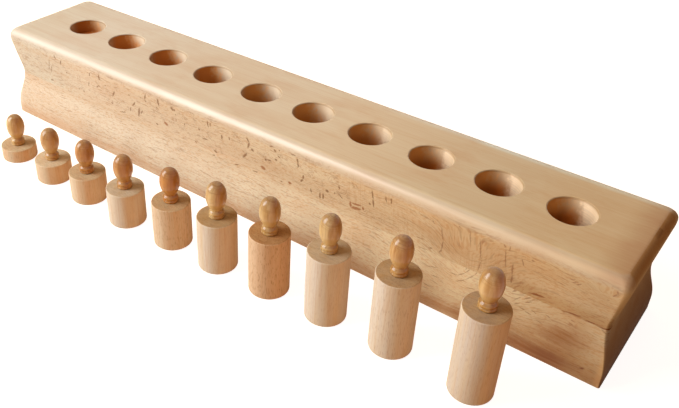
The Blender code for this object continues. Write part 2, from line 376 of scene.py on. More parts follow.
class Graph:
    """Short calls for building one material's nodes."""

    def __init__(self, name):
        self.material = bpy.data.materials.new(name)
        self.material.use_nodes = True
        self.tree = self.material.node_tree
        self.shader = self.tree.nodes["Principled BSDF"]
        places = self.tree.nodes.new("ShaderNodeTexCoord").outputs
        self.place = places["Object"]
        self.facing = places["Normal"]

    def link(self, value, socket):
        if isinstance(value, bpy.types.NodeSocket):
            self.tree.links.new(value, socket)
        else:
            socket.default_value = value

    def math(self, operation, first, second=0.0):
        node = self.tree.nodes.new("ShaderNodeMath")
        node.operation = operation
        for value, socket in zip((first, second), node.inputs):
            self.link(value, socket)
        return node.outputs[0]

    def plus(self, first, second):
        return self.math("ADD", first, second)

    def minus(self, first, second):
        return self.math("SUBTRACT", first, second)

    def times(self, product, *factors):
        for factor in factors:
            product = self.math("MULTIPLY", product, factor)
        return product

    def size(self, value):
        return self.math("ABSOLUTE", value)

    def split(self, vector):
        node = self.tree.nodes.new("ShaderNodeSeparateXYZ")
        self.link(vector, node.inputs[0])
        return node.outputs

    def join(self, x, y, z):
        node = self.tree.nodes.new("ShaderNodeCombineXYZ")
        for value, socket in zip((x, y, z), node.inputs):
            self.link(value, socket)
        return node.outputs[0]

    def scaled(self, factors, shift=0.0):
        """The point on the piece, stretched by a factor along each axis and moved aside."""
        node = self.tree.nodes.new("ShaderNodeMapping")
        self.link(self.place, node.inputs["Vector"])
        node.inputs["Location"].default_value = (shift, shift * 0.7, shift * 1.3)
        node.inputs["Scale"].default_value = factors
        return node.outputs[0]

    def length(self, vector):
        node = self.tree.nodes.new("ShaderNodeVectorMath")
        node.operation = "LENGTH"
        self.link(vector, node.inputs[0])
        return node.outputs["Value"]

    def wobble(self, scale, amount):
        """The point on the piece, pushed about a little so that drawn strokes look grown."""
        noise = self.tree.nodes.new("ShaderNodeTexNoise")
        noise.inputs["Scale"].default_value = scale
        noise.inputs["Detail"].default_value = 1.0
        self.link(self.place, noise.inputs["Vector"])
        back = self.tree.nodes.new("ShaderNodeVectorMath")
        back.operation = "SUBTRACT"
        self.link(self.place, back.inputs[0])
        back.inputs[1].default_value = (amount / 2, amount / 2, amount / 2)
        push = self.tree.nodes.new("ShaderNodeVectorMath")
        push.operation = "MULTIPLY_ADD"
        self.link(noise.outputs["Color"], push.inputs[0])
        push.inputs[1].default_value = (amount, amount, amount)
        self.link(back.outputs[0], push.inputs[2])
        return push.outputs[0]

    def noise(self, vector, detail=2.0, distortion=0.0):
        node = self.tree.nodes.new("ShaderNodeTexNoise")
        self.link(vector, node.inputs["Vector"])
        node.inputs["Scale"].default_value = 1.0
        node.inputs["Detail"].default_value = detail
        node.inputs["Distortion"].default_value = distortion
        return node.outputs["Fac"]

    def fade(self, value, low, high, start=0.0, end=1.0):
        """Smooth step from start to end while the value goes from low to high."""
        node = self.tree.nodes.new("ShaderNodeMapRange")
        node.interpolation_type = "SMOOTHSTEP"
        for item, socket in zip((value, low, high, start, end), node.inputs):
            self.link(item, socket)
        return node.outputs[0]

    def mix(self, factor, first, second, blend="MIX"):
        node = self.tree.nodes.new("ShaderNodeMix")
        node.data_type = "RGBA"
        node.blend_type = blend
        self.link(factor, node.inputs["Factor"])
        for value, socket in ((first, node.inputs[6]), (second, node.inputs[7])):
            self.link(value if isinstance(value, bpy.types.NodeSocket) else (*value, 1.0), socket)
        return node.outputs[2]

    def tint(self, factor, colour, tint):
        """The colour, multiplied by the tint as far as the factor says."""
        return self.mix(factor, colour, self.mix(1.0, colour, tint, "MULTIPLY"))

    def bump(self, height, distance):
        node = self.tree.nodes.new("ShaderNodeBump")
        node.inputs["Strength"].default_value = 1.0
        node.inputs["Distance"].default_value = distance
        self.link(height, node.inputs["Height"])
        self.link(node.outputs[0], self.shader.inputs["Normal"])

    def finish(self, colour, roughness, specular, coat=0.0, coat_roughness=0.1):
        self.link(colour, self.shader.inputs["Base Color"])
        self.link(roughness, self.shader.inputs["Roughness"])
        self.shader.inputs["Specular IOR Level"].default_value = specular
        self.link(coat, self.shader.inputs["Coat Weight"])
        self.shader.inputs["Coat Roughness"].default_value = coat_roughness
        return self.material


# Marks in the wood of the block's front face

# Crops of the photograph in which strokes were read: the left and top edge in the photograph, in its
# pixels, and how many times the crop was enlarged
LEFT_CROP = (20, 50, 9)
MIDDLE_CROP = (225, 115, 12)
RIGHT_CROP = (295, 145, 12)
FIGURE_CROP = (395, 200, 8)

# Strokes, each as the places of both its ends in the crop and its half width in millimetres. The curls
# and the figure lie on the upper board, LOWER on the lower one.
LEFT_CURLS = (
    (303, 45, 320, 82, 0.45), (368, 95, 362, 128, 0.4), (262, 85, 262, 180, 0.2),
    (290, 130, 280, 205, 0.2), (415, 200, 425, 210, 0.5), (280, 268, 305, 270, 0.4),
    (325, 322, 335, 328, 0.4), (570, 365, 582, 376, 0.55), (530, 345, 540, 352, 0.4),
    (706, 225, 714, 270, 0.55), (628, 205, 624, 235, 0.3), (622, 285, 618, 320, 0.3),
    (700, 315, 722, 330, 0.3), (690, 335, 705, 325, 0.3), (765, 314, 768, 322, 0.4),
    (850, 375, 835, 412, 0.4), (825, 474, 840, 484, 0.5), (976, 401, 985, 410, 0.45),
    (1128, 400, 1122, 445, 0.35), (1130, 455, 1132, 468, 0.4), (1236, 440, 1250, 505, 0.5),
    (1226, 512, 1234, 528, 0.35), (1035, 472, 1015, 500, 0.35), (998, 515, 992, 550, 0.25),
    (1075, 525, 1068, 595, 0.5), (1102, 545, 1090, 575, 0.3), (905, 555, 950, 560, 0.25),
    (1358, 512, 1378, 548, 0.65), (1385, 530, 1392, 552, 0.5), (1396, 578, 1404, 590, 0.35),
    (1225, 660, 1245, 672, 0.4), (1685, 640, 1695, 695, 0.35), (1710, 655, 1712, 690, 0.25),
    (1605, 705, 1618, 722, 0.45), (1815, 765, 1818, 805, 0.45), (1880, 780, 1885, 810, 0.3),
    (1745, 900, 1775, 925, 0.45), (1725, 950, 1755, 945, 0.3), (1640, 792, 1690, 808, 0.35),
    (1575, 815, 1590, 835, 0.35), (1480, 660, 1484, 678, 0.3),
)
MIDDLE_CURLS = (
    (256, 268, 290, 330, 0.45), (292, 330, 272, 395, 0.5), (325, 402, 332, 438, 0.8),
    (265, 460, 215, 508, 0.55), (90, 602, 170, 592, 0.3), (535, 377, 575, 378, 0.3),
    (588, 415, 608, 446, 0.6), (650, 425, 654, 430, 0.4), (632, 488, 664, 522, 0.4),
    (600, 540, 622, 535, 0.6), (478, 540, 500, 532, 0.6), (505, 533, 560, 556, 0.35),
    (395, 686, 330, 670, 0.35), (790, 470, 850, 488, 0.3), (868, 520, 876, 575, 0.45),
    (876, 575, 880, 632, 0.45), (942, 720, 936, 770, 0.45), (936, 770, 905, 800, 0.45),
    (765, 812, 788, 818, 0.7), (665, 790, 690, 803, 0.4),
)
RIGHT_CURLS = (
    (300, 570, 298, 640, 0.4), (337, 580, 337, 650, 0.45), (365, 548, 405, 556, 0.8),
    (470, 570, 480, 582, 0.5), (530, 488, 530, 530, 0.35), (520, 580, 572, 650, 0.25),
    (190, 520, 195, 570, 0.35), (925, 545, 938, 650, 0.4), (938, 650, 942, 745, 0.4),
    (895, 690, 897, 718, 0.5), (1088, 620, 1100, 690, 0.3), (1155, 640, 1156, 705, 0.3),
)
FIGURE = (
    (372, 225, 384, 330, 0.35), (384, 330, 372, 400, 0.4), (375, 395, 355, 420, 0.45),
    (298, 158, 318, 192, 0.35), (600, 245, 606, 370, 0.28), (681, 310, 689, 490, 0.35),
    (689, 490, 660, 570, 0.25), (886, 400, 884, 545, 0.32), (946, 510, 934, 600, 0.45),
    (940, 600, 925, 665, 0.45), (885, 380, 872, 355, 0.35), (918, 405, 925, 370, 0.35),
    (1015, 470, 1032, 530, 0.35), (1095, 480, 1120, 495, 0.5), (1290, 650, 1370, 690, 0.25),
    (1395, 630, 1450, 640, 0.25), (1420, 662, 1470, 655, 0.3), (1455, 680, 1495, 672, 0.4),
    (1780, 728, 1786, 755, 0.4), (1786, 755, 1745, 776, 0.45), (1695, 802, 1715, 800, 0.3),
    (165, 290, 235, 318, 0.3), (265, 382, 300, 386, 0.45), (165, 365, 260, 400, 0.22),
    (190, 95, 200, 100, 0.3), (515, 210, 520, 220, 0.35),
)
LOWER = (
    (430, 575, 500, 602, 0.22), (500, 602, 560, 585, 0.3), (560, 585, 600, 555, 0.25),
    (480, 650, 560, 640, 0.25), (560, 640, 640, 600, 0.28), (640, 600, 665, 570, 0.28),
    (600, 520, 560, 560, 0.25), (220, 660, 275, 690, 0.3), (220, 690, 265, 710, 0.25),
    (265, 530, 340, 540, 0.22), (940, 735, 995, 705, 0.5), (1035, 790, 1090, 782, 0.45),
    (950, 800, 1010, 775, 0.25), (1040, 820, 1100, 815, 0.3), (950, 830, 1000, 825, 0.25),
    (1040, 890, 1090, 920, 0.3), (1090, 880, 1130, 910, 0.25), (1390, 980, 1425, 1005, 0.4),
    (1405, 960, 1440, 980, 0.3), (1650, 1035, 1690, 1075, 0.45), (1205, 915, 1240, 945, 0.25),
    (1130, 960, 1175, 990, 0.25), (1320, 870, 1360, 900, 0.3), (995, 860, 1040, 880, 0.3),
    (570, 700, 640, 715, 0.25), (290, 600, 350, 620, 0.22),
)

# How much wider and longer the curls are drawn than they were read
LEFT_GAIN = (1.45, 1.1)
MIDDLE_GAIN = (1.3, 1.0)

# Smudges, in millimetres and degrees: (x, z, half width, half length, lean to the right). KNOTS lie on
# the upper board.
KNOTS = (
    (-75.5, 45, 1.6, 1.4, 20), (81, 43.5, 3.2, 1.1, -15), (81.5, 47.0, 3.0, 0.7, -10),
    (77, 45, 0.6, 2.4, 0), (86, 46, 0.6, 1.4, 0), (10, 43.5, 1.6, 1.5, 30), (31, 40.5, 1.2, 1.0, 0),
    (196.5, 38.5, 0.5, 3.6, 84),
)

# STAINS lie along the glue line and on the foot, CLOUDS on the right end of the lower board.
STAINS = (
    (195, 37.8, 0.35, 3.4, 84), (216, 36.2, 0.45, 4, 87), (225, 35.9, 0.35, 2.8, 86),
    (233.5, 35.7, 0.5, 3.6, 84), (228.5, 8.5, 0.6, 1.2, 60),
)
CLOUDS = (
    (214, 21, 6.5, 14, 76), (207, 5, 4.5, 14, 88), (166, 6, 2.5, 10, 88),
)

# Metres for each millimetre of a stroke, with some added for its soft edge
STROKE_WIDTH = 1 / 770
STROKE_LENGTH = 1 / 900

# A stretch along Y so great that what is carried there adds nothing to a stroke's own distance
ANY_DEPTH = 1000000

# Hills in the grain field: the middle and the reach along X and Z, and the height, in metres
EYES = (
    ((0.155, 0.042), (0.022, 0.020), 0.020),
    ((0.230, 0.060), (0.008, 0.004), 0.006),
    ((0.186, 0.030), (0.016, 0.012), 0.009),
)

# How closely each kind of mark repeats along, into and across the grain, in turns a metre
BAND_GRAIN = (5.0, 70.0, 110.0)
STREAK_GRAIN = (12.0, 900.0, 1100.0)
PORE_GRAIN = (480.0, 480.0, 1500.0)
DASH_GRAIN = (120.0, 500.0, 1250.0)
LINE_GRAIN = (22.0, 90.0, 520.0)
SMUDGE_GRAIN = (16.0, 90.0, 480.0)

# The same along X, Y and Z, for what doesn't follow the grain
DRIFT = (14.0, 3.0, 22.0)
MOTTLE = (30.0, 60.0, 70.0)
LINE_BREAKS = (70.0, 40.0, 160.0)
HATCHING = (1500.0, 100.0, 60.0)
HATCHED_PARTS = (40.0, 5.0, 30.0)
WORMS = (330.0, 60.0, 240.0)
WORM_GROUPS = (170.0, 20.0, 230.0)
RAGGED_FOOT = (60.0, 9.0, 60.0)
TORN_WALL = (420.0, 420.0, 300.0)
TURNED_WALL = (20.0, 20.0, 1100.0)

# How deep the wood's grain is cut, in metres
BLOCK_RELIEF = 0.00004
CYLINDER_RELIEF = 0.00003
KNOB_RELIEF = 0.00002

# Where the block's faces, front rim and sockets fade in, as spans of X, Y or Z or of its size
FRONT_Y = (-0.0310, -0.0330)
SIDES_Y = (0.0310, 0.0345)
SIDES_Z = (0.0700, 0.0660)
SIDES_X = (0.2375, 0.2345)
RIM_Y = (-0.0330, -0.0350)
RIM_Z = (LIP - 0.0030, LIP + 0.0010)
TOP_EDGE_Z = (TOP, TOP - 0.0005)
ROW_X = (SOCKETS_END, SOCKETS_END - 0.0010)
WALL_Y = (0.0145, 0.0142)
WALL_Z = (TOP - 0.0003, TOP - 0.0009)
MOUTH_Y = (0.0147, 0.0143)
MOUTH_Z = (TOP - 0.00005, TOP - 0.0003)
CHAMFER_Z = (TOP - 0.0018, TOP - 0.0010)


def on_front(crop, across, down):
    """The point of the block's front that is seen at a place in a crop, in metres."""
    left, top, zoom = crop
    seen_x = (left + across / zoom) / PHOTO_WIDTH - 0.5 + CAMERA_SHIFT_X
    seen_y = (PHOTO_HEIGHT / 2 - top - down / zoom) / PHOTO_WIDTH + CAMERA_SHIFT_Y
    sight = camera_matrix().to_3x3() @ Vector((seen_x * SENSOR, seen_y * SENSOR, -LENS))
    inset = WAIST_DEPTH
    for _ in range(FRONT_TRIES):
        point = CAMERA_PLACE + sight * ((inset - HALF_WIDTH - CAMERA_PLACE.y) / sight.y)
        inset = moulding_inset(point.z)
    return point


def strokes(crop, marks, wider=1.0, longer=1.0):
    """Strokes read in a crop as (x, z, half width, half length, lean), like the smudges."""
    placed = []
    for *ends, half_width in marks:
        high, low = on_front(crop, *ends[:2]), on_front(crop, *ends[2:])
        if high.z < low.z:
            high, low = low, high
        middle = (high + low) / 2 * 1000
        run = (high - low) * 1000
        half_length = max(math.hypot(run.x, run.z) / 2, half_width)
        lean = math.degrees(math.atan2(run.x, run.z))
        placed.append((middle.x, middle.z, half_width * wider, half_length * longer, lean))
    return placed


def curls():
    left = strokes(LEFT_CROP, LEFT_CURLS, *LEFT_GAIN)
    middle = strokes(MIDDLE_CROP, MIDDLE_CURLS, *MIDDLE_GAIN)
    return left + middle + strokes(RIGHT_CROP, RIGHT_CURLS, *MIDDLE_GAIN)


def marks_in(g, marks, place, outer=1.15, inner=0.55):
    """1 inside any of the strokes on the front, softly 0 outside them.

    Each point carries the distance found so far along Y, so that the strokes are worked out one
    after another. Worked out side by side, a long table of them leaves a shader without room.
    """
    x, y, z = g.split(place)
    nearest = 4.0
    for middle, height, width, length, lean in marks:
        node = g.tree.nodes.new("ShaderNodeMapping")
        node.vector_type = "TEXTURE"
        g.link(g.join(x, nearest, z), node.inputs["Vector"])
        node.inputs["Location"].default_value = (middle / 1000, 0, height / 1000)
        node.inputs["Rotation"].default_value = (0, math.radians(lean), 0)
        node.inputs["Scale"].default_value = (width * STROKE_WIDTH, ANY_DEPTH, length * STROKE_LENGTH)
        nearest = g.math("MINIMUM", nearest, g.length(node.outputs[0]))
    return g.times(g.fade(nearest, outer, inner), g.fade(y, *FRONT_Y))


def eye(g, x, z, middle, reach, height):
    """A soft hill in the grain field. Where it is steep, the grain lines close round it."""
    across = g.math("POWER", g.math("DIVIDE", g.minus(x, middle[0]), reach[0]), 2.0)
    up = g.math("POWER", g.math("DIVIDE", g.minus(z, middle[1]), reach[1]), 2.0)
    return g.times(g.math("EXPONENT", g.times(g.plus(across, up), -1.0)), height)


def grain_level(g, x, z):
    """Height of the grain layer that passes through a point of the block."""
    drift = g.noise(g.scaled(DRIFT))
    level = g.plus(z, g.times(g.minus(drift, 0.5), 0.012))
    for middle, reach, height in EYES:
        level = g.plus(level, eye(g, x, z, middle, reach, height))
    return level


def along(g, level, grain):
    """The point on the piece, stretched along, into and across the grain."""
    x, y, _ = g.split(g.place)
    return g.join(*(g.times(place, stretch) for place, stretch in zip((x, y, level), grain)))


# Block materials

WHITE = (1.0, 1.0, 1.0)
BLACK = (0.0, 0.0, 0.0)
PALE = (0.640, 0.585, 0.465)
TAN = (0.605, 0.520, 0.390)
FLECK = (0.250, 0.105, 0.035)
RED = (0.490, 0.258, 0.105)
OLIVE = (0.215, 0.112, 0.040)
HATCH = (0.42, 0.225, 0.105)
KNOT = (0.33, 0.140, 0.045)
FOOT = (0.43, 0.195, 0.060)
CLOUD = (0.37, 0.195, 0.075)
STAIN = (0.25, 0.075, 0.025)
# Painted shade on the lit front rounding under its highlight
RIM_SHADE = (0.40, 0.36, 0.32)
# Painted shade towards the lower board's left and painted light towards its right, evening out the key
# lamp's falloff
LOWER_LEFT_SHADE = (0.90, 0.87, 0.84)
LOWER_RIGHT_LIGHT = (1.24, 1.40, 1.62)
# Warmer and less blue towards the right end: partly the wood's own tone, partly painted shade where the
# key lamp's light falls off
RIGHT_TINT = (1.04, 0.87, 0.60)
# Painted shade on the top's right edge
TOP_RIGHT_SHADE = (0.72, 0.56, 0.44)
# Painted shade on the right end, darker towards its bottom, and a plain end-grain tint for the left end
SHADE = (0.68, 0.72, 0.80)
LOW_SHADE = (0.31, 0.30, 0.44)
LEFT_END_GRAIN = (0.80, 0.75, 0.68)

# A socket's wall with painted light and shade: pale on its lit side, turning rings, tan and brown towards
# its shaded side and its depth, and a painted highlight and painted shade on its chamfer
WALL_LIT_LEFT = (0.71, 0.60, 0.45)
WALL_LIT_RIGHT = (1.00, 0.80, 0.56)
WALL_RINGS = (0.72, 0.60, 0.45)
WALL_MIDDLE = (0.68, 0.52, 0.34)
WALL_TAN = (0.86, 0.54, 0.28)
WALL_SHADE_RIGHT = (0.88, 0.43, 0.140)
WALL_SHADE_LEFT = (0.76, 0.30, 0.080)
WALL_DEEP_SHADE = (0.49, 0.17, 0.036)
WALL_SHADE_DIM = (0.76, 0.70, 0.64)
CHAMFER_HIGHLIGHT = (0.86, 0.72, 0.58)

# Tints, each with the spans of X, Y or Z over which it fades in, from none at the first place to full at
# the second. The upper board is darker at both ends and low at the right. It is paler in its middle under
# the lip and over the glue line: painted light that lifts the shade under the overhanging lip.
UPPER_TINTS = (
    ((0.84, 0.885, 0.90), ("x", -0.14, -0.215)),
    ((0.85, 0.90, 0.97), ("x", 0.185, 0.225)),
    # Painted light under the lip
    ((1.09, 1.18, 1.28), ("x", -0.05, 0.05), ("x", 0.150, 0.115), ("z", 0.050, 0.058)),
    ((0.84, 0.74, 0.62), ("x", 0.165, 0.195), ("z", 0.0470, 0.0400)),
    # Painted light over the glue line, in the lip's shade
    ((1.10, 1.16, 1.24), ("x", -0.12, -0.04), ("x", 0.185, 0.165), ("z", 0.0460, 0.0380)),
)

# The lower board is darker in its last fifth, most at its foot and less at the very end.
LOWER_TINTS = (
    ((0.71, 0.650, 0.61), ("x", 0.180, 0.208)),
    ((0.89, 0.80, 0.70), ("x", 0.180, 0.208), ("z", 0.020, 0.009)),
    ((1.08, 1.20, 1.34), ("x", 0.216, 0.232)),
)

# The top is paler along its back edge and in its middle, and darker towards its ends.
FLAT_TOP = ("z", LIP + 0.0040, TOP - 0.0006)
TOP_TINTS = (
    ((1.12, 1.45, 2.00), ("y", 0.0310, 0.0350), ("x", 0.02, 0.15), ("z", LIP - 0.0010, LIP + 0.0020)),
    ((1.02, 1.07, 1.14), ("x", -0.06, 0.00), ("x", 0.19, 0.15), FLAT_TOP),
    ((0.95, 0.93, 0.88), ("x", -0.17, -0.23), FLAT_TOP),
    ((0.87, 0.885, 0.90), ("x", 0.04, 0.17), FLAT_TOP),
)


def toned(g, colour, tints):
    """The colour with a table of tints laid on it, one after another."""
    places = dict(zip("xyz", g.split(g.place)))
    for tint, *spans in tints:
        factor = g.times(*(g.fade(places[axis], low, high) for axis, low, high in spans))
        colour = g.tint(factor, colour, tint)
    return colour


def board_sides(g):
    """1 on the moulded front and back of the block, 0 on its top."""
    x, y, z = g.split(g.place)
    return g.times(g.fade(g.size(y), *SIDES_Y), g.fade(z, *SIDES_Z), g.fade(g.size(x), *SIDES_X))


def wall_colour(g):
    """Painted light and shade inside the sockets: brown on the side away from the light and deep down,
    through tan to pale wood on the lit side.
    """
    x, y, z = g.split(g.place)
    across = g.times(g.minus(g.math("FRACT", g.math("DIVIDE", x, PITCH)), 0.5), PITCH)
    torn = g.times(g.minus(g.noise(g.scaled(TORN_WALL)), 0.5), 0.011)
    depth = g.minus(TOP, z)
    # How far a point lies towards the lit side, for the painted light and shade
    lit = g.plus(g.times(across, 0.62), g.times(y, 0.80))
    lit = g.plus(g.minus(lit, g.times(depth, 0.25)), torn)
    lit = g.minus(lit, g.fade(x, -0.04, -0.10, 0.0, 0.0022))
    rings = g.noise(g.scaled(TURNED_WALL), detail=1.0)
    pale = g.mix(g.fade(x, -0.04, 0.16), WALL_LIT_LEFT, WALL_LIT_RIGHT)
    wall = g.mix(g.fade(rings, 0.40, 0.70, 0.0, 0.4), pale, WALL_RINGS)
    middle = g.fade(g.plus(across, torn), 0.0045, -0.0015)
    wall = g.mix(g.times(middle, g.fade(x, -0.02, 0.10)), wall, WALL_MIDDLE)
    wall = g.mix(g.fade(lit, 0.0078, 0.0020), wall, WALL_TAN)
    # Painted shade on the side away from the light
    shaded_wall = g.mix(g.fade(x, -0.04, -0.09), WALL_SHADE_RIGHT, WALL_SHADE_LEFT)
    wall = g.mix(g.fade(lit, 0.0040, -0.0034), wall, shaded_wall)
    bent = g.plus(across, g.times(torn, 0.5))
    # Painted shade deep down on the shaded side
    deep = g.times(g.fade(depth, 0.0040, 0.0150), g.fade(bent, 0.0065, -0.0040))
    wall = g.mix(g.times(deep, g.fade(x, -0.02, 0.12, 0.35, 1.0)), wall, WALL_DEEP_SHADE)
    # Painted shade over the leftmost socket's wall
    return g.tint(g.fade(x, -0.168, -0.176), wall, WALL_SHADE_DIM)


def add_sockets(g, colour):
    """The sockets' walls with their painted light and shade, a painted highlight on the near half of each
    chamfer and painted shade on its far half.
    """
    x, y, z = g.split(g.place)
    row = g.fade(g.size(x), *ROW_X)
    inside = g.times(g.fade(g.size(y), *WALL_Y), g.fade(z, *WALL_Z), row)
    mouth = g.times(g.fade(g.size(y), *MOUTH_Y), g.fade(z, *MOUTH_Z))
    # Painted highlight on the near half of each chamfer
    near = g.times(mouth, row, g.fade(y, 0.002, -0.006, 0.0, 0.7))
    colour = g.mix(near, colour, CHAMFER_HIGHLIGHT)
    colour = g.mix(g.times(inside, g.minus(1.0, near)), colour, wall_colour(g))
    # Painted shade on the far half of each chamfer
    far = g.times(mouth, g.fade(y, 0.0030, 0.0090), g.fade(z, *CHAMFER_Z))
    return g.tint(far, colour, WALL_SHADE_DIM)


def add_grain(g, colour, level, side):
    """Fine streaks all over, short dashes on the sides, and drawn-out grain lines towards the right."""
    x, _, _ = g.split(g.place)
    streaks = g.noise(along(g, level, STREAK_GRAIN))
    colour = g.mix(g.fade(streaks, 0.42, 0.75, 0.0, 0.17), colour, RED)
    pores = g.noise(along(g, level, PORE_GRAIN), detail=1.0)
    colour = g.mix(g.times(g.fade(pores, 0.50, 0.66, 0.0, 0.42), side), colour, RED)
    dashes = g.noise(along(g, level, DASH_GRAIN), detail=1.0)
    strength = g.times(side, g.fade(x, -0.15, 0.20, 0.40, 0.30))
    dash = g.times(g.fade(dashes, 0.58, 0.68), strength)
    colour = g.mix(dash, colour, FLECK)
    lines = g.noise(along(g, level, LINE_GRAIN), detail=1.0)
    ridge = g.fade(g.size(g.minus(lines, 0.5)), 0.030, 0.006)
    breaks = g.fade(g.noise(g.scaled(LINE_BREAKS, 4.0)), 0.50, 0.62)
    line = g.times(ridge, breaks, g.times(side, g.fade(x, 0.04, 0.15, 0.0, 0.24)))
    return g.mix(line, colour, FLECK), g.plus(dash, g.times(streaks, 0.3)), streaks


def upper_figure(g, colour, side):
    """What only the upper board shows: curls, upright lines, pin knots and a fine upright hatching."""
    x, _, z = g.split(g.place)
    hatch = g.noise(g.scaled(HATCHING), detail=1.0)
    where = g.times(g.fade(x, -0.02, 0.04), g.fade(x, 0.22, 0.17), side)
    where = g.times(where, g.fade(g.noise(g.scaled(HATCHED_PARTS)), 0.4, 0.6))
    colour = g.mix(g.times(g.fade(hatch, 0.45, 0.70, 0.0, 0.28), where), colour, HATCH)
    worms = g.noise(g.scaled(WORMS), detail=1.0, distortion=2.0)
    worms = g.fade(g.size(g.minus(worms, 0.5)), 0.085, 0.035)
    group = g.fade(g.noise(g.scaled(WORM_GROUPS, 5.0), detail=1.0), 0.56, 0.64)
    group = g.times(group, g.times(g.fade(x, 0.130, 0.080), g.fade(z, 0.0370, 0.0420)))
    colour = g.mix(g.times(worms, group, g.times(side, 0.35)), colour, FLECK)
    wobble = g.wobble(900.0, 0.0010)
    colour = g.mix(g.times(marks_in(g, curls(), wobble), 0.85), colour, OLIVE)
    colour = g.mix(g.times(marks_in(g, strokes(FIGURE_CROP, FIGURE), wobble), 0.60), colour, FLECK)
    return g.mix(g.times(marks_in(g, KNOTS, wobble, 1.2, 0.6), 0.90), colour, KNOT)


def streaky(g, level):
    """Grain that breaks a smudge up into streaks."""
    return g.fade(g.noise(along(g, level, SMUDGE_GRAIN), detail=3.0), 0.30, 0.64, 0.50, 1.0)


def lower_figure(g, colour, bands, level, side):
    """What only the lower board shows: painted shade towards the left and painted light towards the right
    on its sides, fanned dashes and an orange-brown foot.
    """
    x, _, z = g.split(g.place)
    # Painted shade towards the left end and painted light towards the right end of the sides
    colour = g.tint(side, colour, g.mix(g.fade(x, -0.22, 0.20), LOWER_LEFT_SHADE, LOWER_RIGHT_LIGHT))
    lines = marks_in(g, strokes(FIGURE_CROP, LOWER), g.wobble(900.0, 0.0007))
    colour = g.mix(g.times(lines, 0.50), colour, FLECK)
    ragged = g.minus(g.noise(g.scaled(RAGGED_FOOT, 7.0)), 0.5)
    foot = g.fade(g.plus(z, g.times(ragged, 0.010)), g.fade(x, 0.10, 0.20, 0.0125, 0.0190), 0.0035)
    foot = g.times(foot, g.fade(bands, 0.30, 0.60, 0.5, 1.0), g.fade(x, 0.226, 0.211, 0.10, 1.0))
    foot = g.times(foot, streaky(g, level))
    return g.mix(g.times(foot, g.fade(x, 0.10, 0.20, 0.50, 0.90)), colour, FOOT)


def add_smudges(g, colour, level):
    """The brown clouds and the stains, which both boards share."""
    clouds = g.times(marks_in(g, CLOUDS, g.wobble(120.0, 0.0060), 1.6, 0.0), streaky(g, level))
    colour = g.mix(g.times(clouds, 0.90), colour, CLOUD)
    stains = marks_in(g, STAINS, g.wobble(500.0, 0.0008), 1.5, 0.2)
    return g.mix(g.times(stains, 0.85), colour, STAIN)


def add_ends(g, colour):
    """Painted shade on the top's right edge and on the right end, darker low down, and a plain end-grain
    tint on the left end.
    """
    x, _, z = g.split(g.place)
    # Painted shade on the top's right edge
    edge = g.times(g.fade(x, 0.2160, 0.2360, 0.0, 0.90), g.fade(z, LIP - 0.0010, LIP + 0.0040))
    colour = g.tint(edge, colour, TOP_RIGHT_SHADE)
    out = g.split(g.facing)[0]
    # Painted shade on the right end, darker towards its bottom; the left end keeps a plain end-grain tint
    end_shade_and_grain = g.mix(g.fade(z, 0.060, 0.004), SHADE, LOW_SHADE)
    end_shade_and_grain = g.mix(g.fade(out, 0.10, -0.10), end_shade_and_grain, LEFT_END_GRAIN)
    return g.tint(g.fade(g.size(out), 0.12, 0.70), colour, end_shade_and_grain)


def front_rim(g):
    """1 on the rounding between the block's front and its top."""
    _, y, z = g.split(g.place)
    return g.times(g.fade(z, *RIM_Z), g.fade(z, *TOP_EDGE_Z), g.fade(y, *RIM_Y))


def block_beech(name, upper, matt):
    """Lacquered beech with its grain along X. upper chooses the board with the curly flecks.

    The end grain and the sockets have soaked their lacquer up, so they are matt.
    """
    g = Graph(name)
    x, _, z = g.split(g.place)
    level = grain_level(g, x, z)
    bands = g.noise(along(g, level, BAND_GRAIN), detail=3.0)
    colour = g.mix(g.fade(bands, 0.3, 0.7), PALE, TAN)
    mottle = g.noise(g.scaled(MOTTLE, 3.0), detail=3.0)
    colour = g.mix(g.times(g.fade(mottle, 0.45, 0.72), g.fade(x, -0.10, 0.12, 0.16, 0.24)), colour, RED)
    side = board_sides(g)
    colour, relief, streaks = add_grain(g, colour, level, side)
    colour = upper_figure(g, colour, side) if upper else lower_figure(g, colour, bands, level, side)
    colour = add_smudges(g, colour, level)
    # Partly the wood's tone, partly painted shade where the key lamp's light falls off towards the right
    tint = g.mix(g.fade(x, -0.26, 0.26), WHITE, RIGHT_TINT)
    colour = g.mix(1.0, colour, tint, "MULTIPLY")
    colour = g.mix(side, colour, toned(g, colour, UPPER_TINTS if upper else LOWER_TINTS))
    colour = add_ends(g, add_sockets(g, toned(g, colour, TOP_TINTS)))
    rim = front_rim(g)
    # Painted shade that dims the lit front rounding under its highlight
    colour = g.mix(g.times(rim, 0.30), colour, RIM_SHADE)
    g.bump(relief, BLOCK_RELIEF)
    if matt:
        return g.finish(colour, g.fade(streaks, 0.3, 0.8, 0.80, 0.90), specular=0.03)
    gloss = g.times(g.fade(x, -0.20, 0.08, 0.22, 1.0), g.fade(x, 0.232, 0.170, 0.15, 1.0))
    roughness = g.fade(streaks, 0.3, 0.8, 0.46, 0.54)
    return g.finish(colour, roughness, 0.34, g.fade(rim, 0.0, 1.0, 0.12, gloss), coat_roughness=0.30)


# Cylinder materials

CREAM = (0.620, 0.575, 0.490)
STRAW = (0.605, 0.515, 0.375)
PINK = (0.605, 0.455, 0.305)
SAND = (0.560, 0.512, 0.445)
ORANGE = (0.570, 0.385, 0.235)
# Painted warm bounce light on the cylinders' sides that face +X
PAINTED_WARM_BOUNCE = (1.15, 1.00, 0.90)

